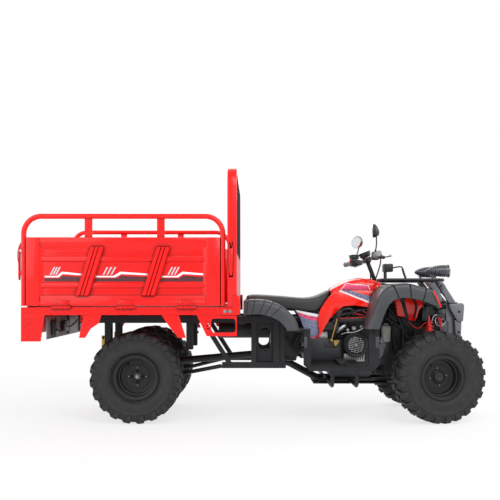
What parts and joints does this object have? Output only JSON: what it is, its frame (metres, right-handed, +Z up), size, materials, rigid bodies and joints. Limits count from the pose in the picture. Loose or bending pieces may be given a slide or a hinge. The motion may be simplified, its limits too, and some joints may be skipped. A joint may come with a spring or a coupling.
{
  "type": "utility quad bike with cargo bed",
  "caption": "Farm quad bike with a stretched rear frame, tipping red cargo bed with folding gates, front rack, bull bar and fat lugged tyres.",
  "frame": {"origin": "on the ground under the centre of the machine's bounding box", "axes": "+X forwards, +Y to the rider's left, +Z up"},
  "size_m": [2.9048, 1.2326, 1.5915],
  "materials": {
    "tyre": "black moulded rubber",
    "rim_black": "satin black paint",
    "frame_black": "semi-gloss black powder coat",
    "steel_dark": "dark coated steel",
    "spring_red": "red coated coil on a dark damper",
    "engine_metal": "dull cast alloy",
    "fan_black": "black moulded plastic",
    "muffler_black": "heat-proof black paint",
    "zinc_steel": "zinc plated steel with a black knob",
    "seat_vinyl": "black vinyl over foam",
    "body_red": "glossy red moulded plastic",
    "flare_grey": "dark grey textured plastic",
    "lamp_glass": "clear lens in a dark shell",
    "winch_black": "black housing",
    "bed_red": "glossy red pressed steel",
    "hoop_red": "glossy red tube"
  },
  "bodies": {
    "chassis": {"frame_rails": "frame_black", "frame_braces": "frame_black", "rear_rails": "frame_black", "rear_side_frames": "frame_black", "rear_crossmembers": "frame_black", "front_arms": "frame_black", "front_shocks": "spring_red", "leaf_springs": "steel_dark", "spring_hangers": "frame_black", "rear_axle": "frame_black", "prop_shaft": "steel_dark", "torque_rods": "steel_dark", "engine": "engine_metal", "fan_cover": "fan_black", "muffler": "muffler_black", "skid_plate": "frame_black", "foot_guards": "frame_black", "foot_boards": "frame_black", "gear_lever": "zinc_steel", "seat": "seat_vinyl", "tank_cover": "body_red", "side_covers": "body_red", "front_fenders": "flare_grey", "rear_fenders": "flare_grey", "front_cowl": "body_red", "front_rack": "frame_black", "headlamps": "lamp_glass", "bull_bar": "frame_black", "winch": "winch_black"},
    "handlebar": {"steering_stem": "steel_dark", "handlebar": "frame_black", "dashboard": "fan_black", "bar_controls": "fan_black", "mirrors": "fan_black"},
    "knuckle_left": {"knuckle_left": "steel_dark"},
    "knuckle_right": {"knuckle_right": "steel_dark"},
    "wheel_front_left": {"tyre_front_left": "tyre", "rim_front_left": "rim_black"},
    "wheel_front_right": {"tyre_front_right": "tyre", "rim_front_right": "rim_black"},
    "wheel_rear_left": {"tyre_rear_left": "tyre", "rim_rear_left": "rim_black"},
    "wheel_rear_right": {"tyre_rear_right": "tyre", "rim_rear_right": "rim_black"},
    "tie_rod_left": {"tie_rod_left": "steel_dark"},
    "tie_rod_right": {"tie_rod_right": "steel_dark"},
    "cargo_bed": {"bed_floor": "bed_red", "headboard": "bed_red", "tail_panel": "bed_red", "bed_brackets": "bed_red"},
    "side_gate_left": {"side_gate_left": "bed_red", "side_rail_left": "hoop_red"},
    "side_gate_right": {"side_gate_right": "bed_red", "side_rail_right": "hoop_red"},
    "tailgate": {"tailgate": "bed_red"}
  },
  "joints": [
    {"name": "steering", "type": "hinge", "parent": "chassis", "child": "handlebar", "pos_m": [1.021, 0, 0.372], "axis": [-0.3584, 0, 0.9336], "range_deg": [-44, 26]},
    {"name": "kingpin_left", "type": "hinge", "parent": "chassis", "child": "knuckle_left", "pos_m": [1.146, 0.292, 0.29], "axis": [0, 0, 1], "range_deg": [-44, 26]},
    {"name": "kingpin_right", "type": "hinge", "parent": "chassis", "child": "knuckle_right", "pos_m": [1.146, -0.292, 0.29], "axis": [0, 0, 1], "range_deg": [-44, 26]},
    {"name": "front_left_spin", "type": "hinge", "parent": "knuckle_left", "child": "wheel_front_left", "pos_m": [1.13536, 0.35916, 0.29], "axis": [-0.1564, 0.9877, 0], "continuous": true},
    {"name": "front_right_spin", "type": "hinge", "parent": "knuckle_right", "child": "wheel_front_right", "pos_m": [1.15664, -0.35916, 0.29], "axis": [-0.1564, 0.9877, 0], "continuous": true},
    {"name": "rear_left_spin", "type": "hinge", "parent": "chassis", "child": "wheel_rear_left", "pos_m": [-0.754, 0.335, 0.29], "axis": [0, 1, 0], "continuous": true},
    {"name": "rear_right_spin", "type": "hinge", "parent": "chassis", "child": "wheel_rear_right", "pos_m": [-0.754, -0.335, 0.29], "axis": [0, 1, 0], "continuous": true},
    {"name": "tie_rod_left_swing", "type": "hinge", "parent": "handlebar", "child": "tie_rod_left", "pos_m": [0.94845, -0.01206, 0.34844], "axis": [-0.3584, 0, 0.9336], "range_deg": [-26, 44]},
    {"name": "tie_rod_right_swing", "type": "hinge", "parent": "handlebar", "child": "tie_rod_right", "pos_m": [0.94845, -0.01206, 0.34844], "axis": [-0.3584, 0, 0.9336], "range_deg": [-26, 44]},
    {"name": "bed_tip", "type": "hinge", "parent": "chassis", "child": "cargo_bed", "pos_m": [-1.117, 0, 0.65], "axis": [0, -1, 0], "range_deg": [0, 45]},
    {"name": "side_gate_left_hinge", "type": "hinge", "parent": "cargo_bed", "child": "side_gate_left", "pos_m": [-0.794, 0.6083, 0.735], "axis": [-1, 0, 0], "range_deg": [0, 170]},
    {"name": "side_gate_right_hinge", "type": "hinge", "parent": "cargo_bed", "child": "side_gate_right", "pos_m": [-0.794, -0.6083, 0.735], "axis": [1, 0, 0], "range_deg": [0, 170]},
    {"name": "tailgate_hinge", "type": "hinge", "parent": "cargo_bed", "child": "tailgate", "pos_m": [-1.4213, 0, 0.735], "axis": [0, -1, 0], "range_deg": [0, 165]}
  ],
  "couplings": [
    {"joint": "kingpin_left", "follows": "steering", "ratio": 1},
    {"joint": "kingpin_right", "follows": "steering", "ratio": 1},
    {"joint": "tie_rod_left_swing", "follows": "steering", "ratio": -1},
    {"joint": "tie_rod_right_swing", "follows": "steering", "ratio": -1}
  ]
}
